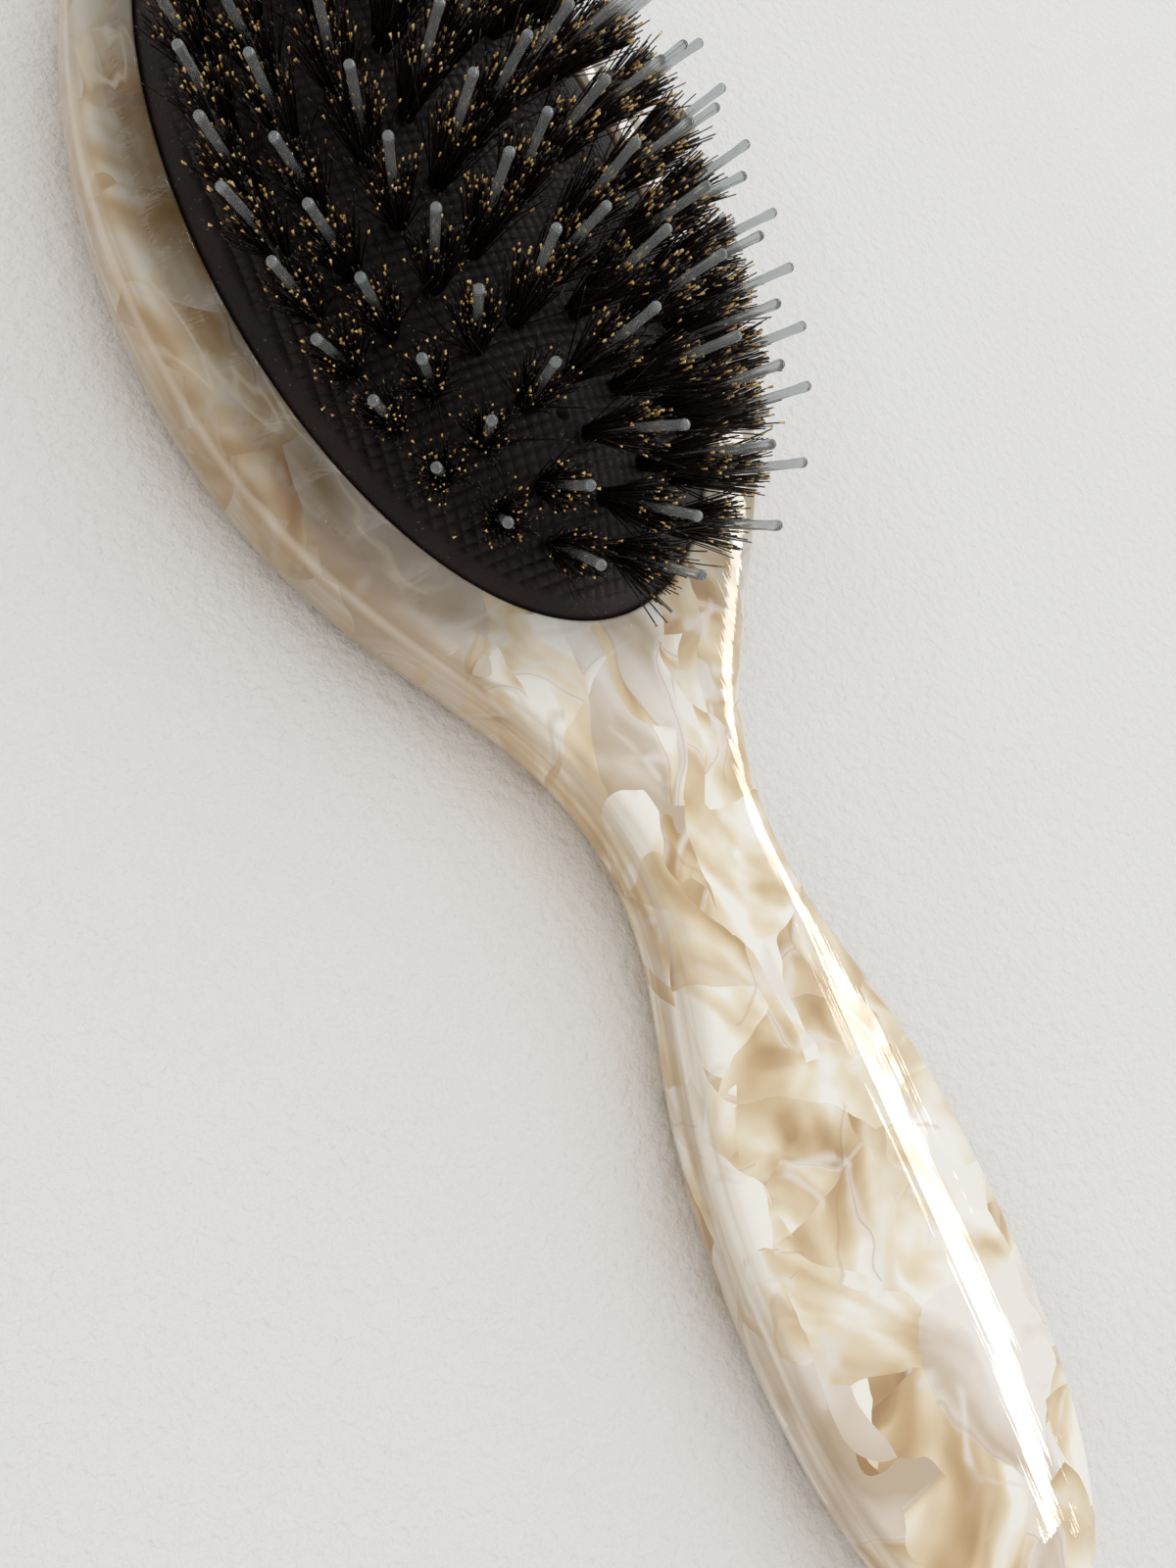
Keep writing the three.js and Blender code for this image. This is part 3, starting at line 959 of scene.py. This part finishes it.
def rubber_material():
    """Matt black rubber with a fine tooth, painted shade in its grooves, and a little dust."""
    shader = Shader("cushion_black_rubber")
    tooth = shader.noise(shader.place, 4.5, 4.0, 0.65).outputs["Fac"]
    patches = shader.noise(shader.place, 0.15, 3.0).outputs["Fac"]
    base = shader.mix(shader.span(patches, 0.3, 0.7), colour("170c0a"), colour("251713"))
    dust = shader.span(shader.noise(shader.place, 2.6, 1.0).outputs["Fac"], 0.72, 0.78)
    base = shader.mix(shader.math("MULTIPLY", dust, 0.35), base, colour("8d8378"))
    squares = shader.span(shader.vector("LENGTH", cushion_place(shader)), 0.92, 0.96, 1.0, 0.0)
    parts = shader.add("ShaderNodeSeparateXYZ")
    shader.feed(parts.inputs[0], shader.place)
    # Painted shade: the grooves between the raised squares are darkened nearly to black, except near the
    # border.
    for axis in ("X", "Y"):
        offset = shader.math("PINGPONG", parts.outputs[axis], GRID_PITCH / 2)
        line = shader.span(offset, 0.08, GROOVE_HALF_WIDTH + 0.04, 0.85, 0.0)
        base = shader.mix(shader.math("MULTIPLY", line, squares), base, colour("030202"))
    shader.set(Base_Color=base, Roughness=shader.span(tooth, 0.3, 0.7, 0.5, 0.68),
               Normal=shader.bump(tooth, 0.02))
    shader.set(Specular_IOR_Level=0.3)
    return shader.material


def nylon_material():
    """Clear, slightly milky nylon, a little cloudier and rougher in places."""
    shader = Shader("nylon_clear")
    wear = shader.noise(shader.place, 1.2, 1.0).outputs["Fac"]
    cloud = shader.noise(shader.place, 0.4, 2.0).outputs["Fac"]
    base = shader.mix(cloud, colour("c6ccce"), colour("dce0e1"))
    shader.set(Base_Color=base, Roughness=shader.span(wear, 0.3, 0.7, 0.06, 0.12))
    shader.set(IOR=1.48, Transmission_Weight=0.82)
    return shader.material


def bristle_material():
    """Dark boar bristle, from nearly black to brown in soft patches."""
    shader = Shader("bristle_dark")
    strands = shader.noise(shader.place, 1.1, 2.0).outputs["Fac"]
    base = shader.ramp(strands, [(0.3, "0d0908"), (0.52, "1d130e"), (0.7, "3a2718")])
    shader.set(Base_Color=base, Roughness=shader.span(strands, 0.3, 0.7, 0.32, 0.5))
    shader.set(IOR=1.55)
    return shader.material


def tip_material():
    """The split golden end of a bristle."""
    shader = Shader("bristle_golden_tip")
    strands = shader.noise(shader.place, 1.7, 1.0).outputs["Fac"]
    base = shader.ramp(strands, [(0.34, "7d5526"), (0.48, "cf9f4f"), (0.66, "f7dc9c")])
    shader.set(Base_Color=base, Roughness=shader.span(strands, 0.3, 0.7, 0.35, 0.5))
    return shader.material


def floor_material():
    """Pale table top with a fine, soft grain like heavy paper."""
    shader = Shader("table_pale")
    grain = shader.noise(shader.place, 0.7, 4.0, 0.6).outputs["Fac"]
    broad = shader.noise(shader.place, 0.02, 2.0).outputs["Fac"]
    base = shader.mix(broad, colour("f0eeec"), colour("f5f4f2"))
    shader.set(Base_Color=base, Roughness=0.85, Normal=shader.bump(grain, 0.6, 0.8))
    return shader.material


# ---------------------------------------------------------------- stage, light and camera

def make_stage():
    """A wide table top just under the brush."""
    reach = 2500
    below = -0.1
    sides = [(-reach, -reach), (reach, -reach), (reach, reach), (-reach, reach)]
    corners = [(x, y, below) for x, y in sides]
    floor = make_object("table", corners, [(0, 1, 2, 3)], [floor_material()])


def add_area_light(name, place, target, size, power, tint=(1, 1, 1)):
    """A rectangular light that faces the target, its long side as near along the brush as it can be."""
    light = bpy.data.lights.new(name, "AREA")
    light.shape = "RECTANGLE"
    light.size, light.size_y = size
    light.energy = power
    light.color = tint
    lamp = bpy.data.objects.new(name, light)
    bpy.context.scene.collection.objects.link(lamp)
    away = (Vector(place) - Vector(target)).normalized()
    long_side = (Vector((0, 1, 0)) - away * away.y).normalized()
    turned = Matrix((long_side.cross(away), long_side, away)).transposed().to_4x4()
    lamp.matrix_world = Matrix.Translation(place) @ turned
    return lamp


def make_light():
    """A nearly even sky that is cooler and brighter at the right, a soft window that adds light from
    there without a glint, and a long strip that only the gloss mirrors."""
    scene = bpy.context.scene
    world = bpy.data.worlds.new("studio")
    world.use_nodes = True
    tree = world.node_tree
    direction = tree.nodes.new("ShaderNodeTexCoord").outputs["Generated"]
    side = tree.nodes.new("ShaderNodeVectorMath")
    side.operation = "DOT_PRODUCT"
    side.inputs[1].default_value = (0.83, 0.25, 0.5)
    tree.links.new(direction, side.inputs[0])
    ramp = tree.nodes.new("ShaderNodeValToRGB")
    ramp.color_ramp.elements[0].position = 0.0
    ramp.color_ramp.elements[0].color = (0.91, 0.86, 0.81, 1)
    ramp.color_ramp.elements[1].position = 1.0
    ramp.color_ramp.elements[1].color = (0.96, 1.0, 1.03, 1)
    share = tree.nodes.new("ShaderNodeMapRange")
    share.inputs["From Min"].default_value = -0.6
    share.inputs["From Max"].default_value = 0.9
    tree.links.new(side.outputs["Value"], share.inputs["Value"])
    tree.links.new(share.outputs[0], ramp.inputs["Fac"])
    background = tree.nodes["Background"]
    tree.links.new(ramp.outputs["Color"], background.inputs["Color"])
    background.inputs["Strength"].default_value = 0.79
    scene.world = world
    middle = (0, -0.05, 0.01)
    window = add_area_light("window", place=(0.45, 0.35, 1.2), target=middle, size=(0.9, 0.9), power=2.3)
    window.visible_glossy = False
    strip = add_area_light("strip", place=(0.445, -0.05, 0.4), target=middle, size=(0.085, 0.9),
                           power=2.1, tint=(1.0, 0.99, 0.97))
    strip.visible_diffuse = False
    scene.view_settings.view_transform = "Standard"


# The camera that fits the photo: its place, and its turns in degrees from looking straight down.
CAMERA_PLACE = (-0.0809, -0.0764, 0.1238)
CAMERA_TURNS = [(-17.6, "Z"), (17.3, "X"), (-27.8, "Y")]


def make_camera():
    data = bpy.data.cameras.new("camera")
    data.lens = 32.56
    data.sensor_width = 36
    data.clip_start = 0.005
    camera = bpy.data.objects.new("camera", data)
    bpy.context.scene.collection.objects.link(camera)
    placed = Matrix.Translation(CAMERA_PLACE)
    for angle, axis in CAMERA_TURNS:
        placed = placed @ Matrix.Rotation(math.radians(angle), 4, axis)
    camera.matrix_world = placed
    bpy.context.scene.camera = camera


# ---------------------------------------------------------------- the brush

make_camera()
make_light()
make_stage()
make_body(acetate_material())
make_cushion(rubber_material())

nylon = nylon_material()
bristle_materials = [bristle_material(), tip_material()]
for row in ROWS:
    nodes = [f"tufts_{row['name']}_{i // TUFTS_PER_NODE + 1:02d}" for i in range(row["count"])]
    make_tufts(row["name"], row_places(row), nodes, nylon, bristle_materials)
middle_nodes = [f"tuft_middle_{i + 1}" for i in range(MIDDLE_COUNT)]
make_tufts("middle", middle_places(), middle_nodes, nylon, bristle_materials)
